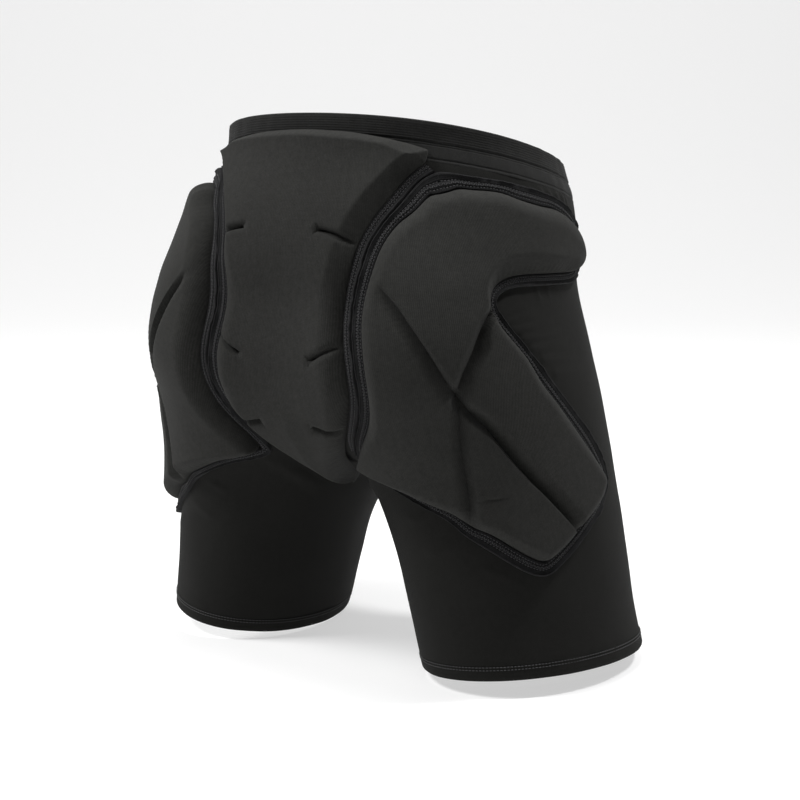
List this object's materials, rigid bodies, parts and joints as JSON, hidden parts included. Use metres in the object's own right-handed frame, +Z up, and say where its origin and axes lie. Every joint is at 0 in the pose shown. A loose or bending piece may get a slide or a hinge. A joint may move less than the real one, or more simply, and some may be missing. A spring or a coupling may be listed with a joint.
{
  "type": "padded protective shorts with hip and tailbone pads",
  "caption": "Stretch shorts with moulded foam pads sewn over the hips and the tailbone, standing open in their worn form.",
  "frame": {"origin": "centre of the waist opening, at the mean height of the waistband's top edge", "axes": "+Z up, the wearer faces -Y, the wearer's left is +X; the garment is symmetric about the plane X = 0"},
  "size_m": [0.4474, 0.2852, 0.4541],
  "materials": {
    "shell_fabric": "matte stretch knit",
    "pad_fabric": "fine knit bonded to foam",
    "waistband_elastic": "ribbed elastic",
    "edge_tape": "stitched textile tape"
  },
  "bodies": {
    "root": {"leg_panel_left": "shell_fabric", "leg_panel_right": "shell_fabric", "leg_hem_left": "shell_fabric", "leg_hem_right": "shell_fabric", "waistband": "waistband_elastic", "tailbone_pad": "pad_fabric", "hip_pad_left": "pad_fabric", "hip_pad_right": "pad_fabric", "tailbone_tape_left": "edge_tape", "tailbone_tape_right": "edge_tape", "hip_tape_left": "edge_tape", "hip_tape_right": "edge_tape"}
  },
  "joints": []
}
